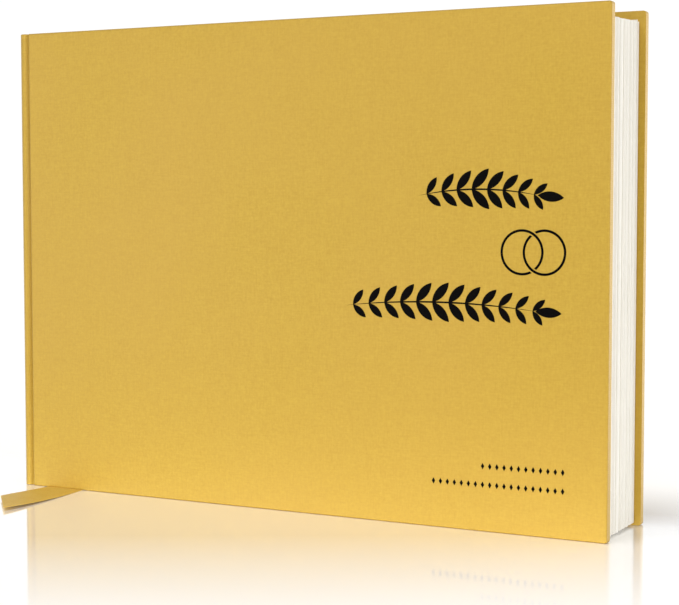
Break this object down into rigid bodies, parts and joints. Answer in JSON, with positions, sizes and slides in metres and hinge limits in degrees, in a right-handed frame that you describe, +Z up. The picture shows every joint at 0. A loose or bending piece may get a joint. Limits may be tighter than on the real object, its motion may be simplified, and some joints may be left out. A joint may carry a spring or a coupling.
{
  "type": "wedding guest book",
  "caption": "Landscape case-bound guest book in gold cloth with a flat spine, white sewn leaves, a wide satin ribbon marker and a small black botanical ornament on the front.",
  "frame": {"origin": "middle of the book's footprint, on the surface it stands on; the ribbon's free end is left out", "axes": "+X from the spine to the fore-edge, +Y from the front cover to the rear cover, +Z up to the head of the leaves"},
  "size_m": [0.2858, 0.103, 0.2088],
  "materials": {
    "greyboard": "grey binder's board, hidden under the cloth",
    "gold_cloth": "satin pearl-gold book cloth with a fine weave",
    "white_paper": "smooth warm-white heavy paper",
    "kraft_paper": "brown kraft lining",
    "mull": "open-weave starched gauze",
    "thread": "waxed linen thread",
    "band": "cream and gold silk over a cord core",
    "ribbon": "gold satin ribbon",
    "black_foil": "black hot-stamped foil"
  },
  "bodies": {
    "book_block": {"signature_1": "white_paper", "signature_2": "white_paper", "signature_3": "white_paper", "signature_4": "white_paper", "signature_5": "white_paper", "signature_6": "white_paper", "signature_7": "white_paper", "signature_8": "white_paper", "spine_board": "greyboard", "spine_cloth": "gold_cloth", "front_joint_cloth": "gold_cloth", "rear_joint_cloth": "gold_cloth", "spine_lining": "kraft_paper", "mull": "mull", "sewing_thread": "thread", "headband": "band", "tailband": "band", "ribbon_marker": "ribbon", "ribbon_tail": "ribbon", "front_guard": "white_paper", "rear_guard": "white_paper"},
    "front_cover": {"front_board": "greyboard", "front_cover_cloth": "gold_cloth", "front_pastedown": "white_paper", "upper_sprig_print": "black_foil", "rings_print": "black_foil", "lower_sprig_print": "black_foil", "marks_print": "black_foil"},
    "rear_cover": {"rear_board": "greyboard", "rear_cover_cloth": "gold_cloth", "rear_pastedown": "white_paper"},
    "front_flyleaf": {"front_flyleaf": "white_paper"},
    "front_leaf_1": {"front_leaf_1": "white_paper"},
    "front_leaf_2": {"front_leaf_2": "white_paper"},
    "front_leaf_3": {"front_leaf_3": "white_paper"},
    "front_leaf_4": {"front_leaf_4": "white_paper"},
    "rear_flyleaf": {"rear_flyleaf": "white_paper"},
    "rear_leaf_1": {"rear_leaf_1": "white_paper"},
    "rear_leaf_2": {"rear_leaf_2": "white_paper"},
    "rear_leaf_3": {"rear_leaf_3": "white_paper"},
    "rear_leaf_4": {"rear_leaf_4": "white_paper"}
  },
  "joints": [
    {"name": "front_cover_hinge", "type": "hinge", "parent": "book_block", "child": "front_cover", "pos_m": [-0.13715, -0.0224, 0], "axis": [0, 0, -1], "range_deg": [0, 180], "deforming": ["ribbon_tail"]},
    {"name": "front_flyleaf_turn", "type": "hinge", "parent": "book_block", "child": "front_flyleaf", "pos_m": [-0.13695, -0.01835, 0], "axis": [0, 0, -1], "range_deg": [0, 88.01]},
    {"name": "front_leaf_1_turn", "type": "hinge", "parent": "book_block", "child": "front_leaf_1", "pos_m": [-0.13665, -0.018, 0], "axis": [0, 0, -1], "range_deg": [0, 76.01]},
    {"name": "front_leaf_2_turn", "type": "hinge", "parent": "book_block", "child": "front_leaf_2", "pos_m": [-0.13635, -0.01765, 0], "axis": [0, 0, -1], "range_deg": [0, 62.01]},
    {"name": "front_leaf_3_turn", "type": "hinge", "parent": "book_block", "child": "front_leaf_3", "pos_m": [-0.13605, -0.0173, 0], "axis": [0, 0, -1], "range_deg": [0, 46.01]},
    {"name": "front_leaf_4_turn", "type": "hinge", "parent": "book_block", "child": "front_leaf_4", "pos_m": [-0.13575, -0.01695, 0], "axis": [0, 0, -1], "range_deg": [0, 28.01]},
    {"name": "rear_cover_hinge", "type": "hinge", "parent": "book_block", "child": "rear_cover", "pos_m": [-0.13715, 0.0224, 0], "axis": [0, 0, 1], "range_deg": [0, 180]},
    {"name": "rear_flyleaf_turn", "type": "hinge", "parent": "book_block", "child": "rear_flyleaf", "pos_m": [-0.13695, 0.01835, 0], "axis": [0, 0, 1], "range_deg": [0, 88.01]},
    {"name": "rear_leaf_1_turn", "type": "hinge", "parent": "book_block", "child": "rear_leaf_1", "pos_m": [-0.13665, 0.018, 0], "axis": [0, 0, 1], "range_deg": [0, 76.01]},
    {"name": "rear_leaf_2_turn", "type": "hinge", "parent": "book_block", "child": "rear_leaf_2", "pos_m": [-0.13635, 0.01765, 0], "axis": [0, 0, 1], "range_deg": [0, 62.01]},
    {"name": "rear_leaf_3_turn", "type": "hinge", "parent": "book_block", "child": "rear_leaf_3", "pos_m": [-0.13605, 0.0173, 0], "axis": [0, 0, 1], "range_deg": [0, 46.01]},
    {"name": "rear_leaf_4_turn", "type": "hinge", "parent": "book_block", "child": "rear_leaf_4", "pos_m": [-0.13575, 0.01695, 0], "axis": [0, 0, 1], "range_deg": [0, 28.01]}
  ],
  "couplings": [
    {"joint": "front_flyleaf_turn", "follows": "front_cover_hinge", "ratio": 0.48889},
    {"joint": "front_leaf_1_turn", "follows": "front_cover_hinge", "ratio": 0.42222},
    {"joint": "front_leaf_2_turn", "follows": "front_cover_hinge", "ratio": 0.34444},
    {"joint": "front_leaf_3_turn", "follows": "front_cover_hinge", "ratio": 0.25556},
    {"joint": "front_leaf_4_turn", "follows": "front_cover_hinge", "ratio": 0.15556},
    {"joint": "rear_flyleaf_turn", "follows": "rear_cover_hinge", "ratio": 0.48889},
    {"joint": "rear_leaf_1_turn", "follows": "rear_cover_hinge", "ratio": 0.42222},
    {"joint": "rear_leaf_2_turn", "follows": "rear_cover_hinge", "ratio": 0.34444},
    {"joint": "rear_leaf_3_turn", "follows": "rear_cover_hinge", "ratio": 0.25556},
    {"joint": "rear_leaf_4_turn", "follows": "rear_cover_hinge", "ratio": 0.15556}
  ]
}
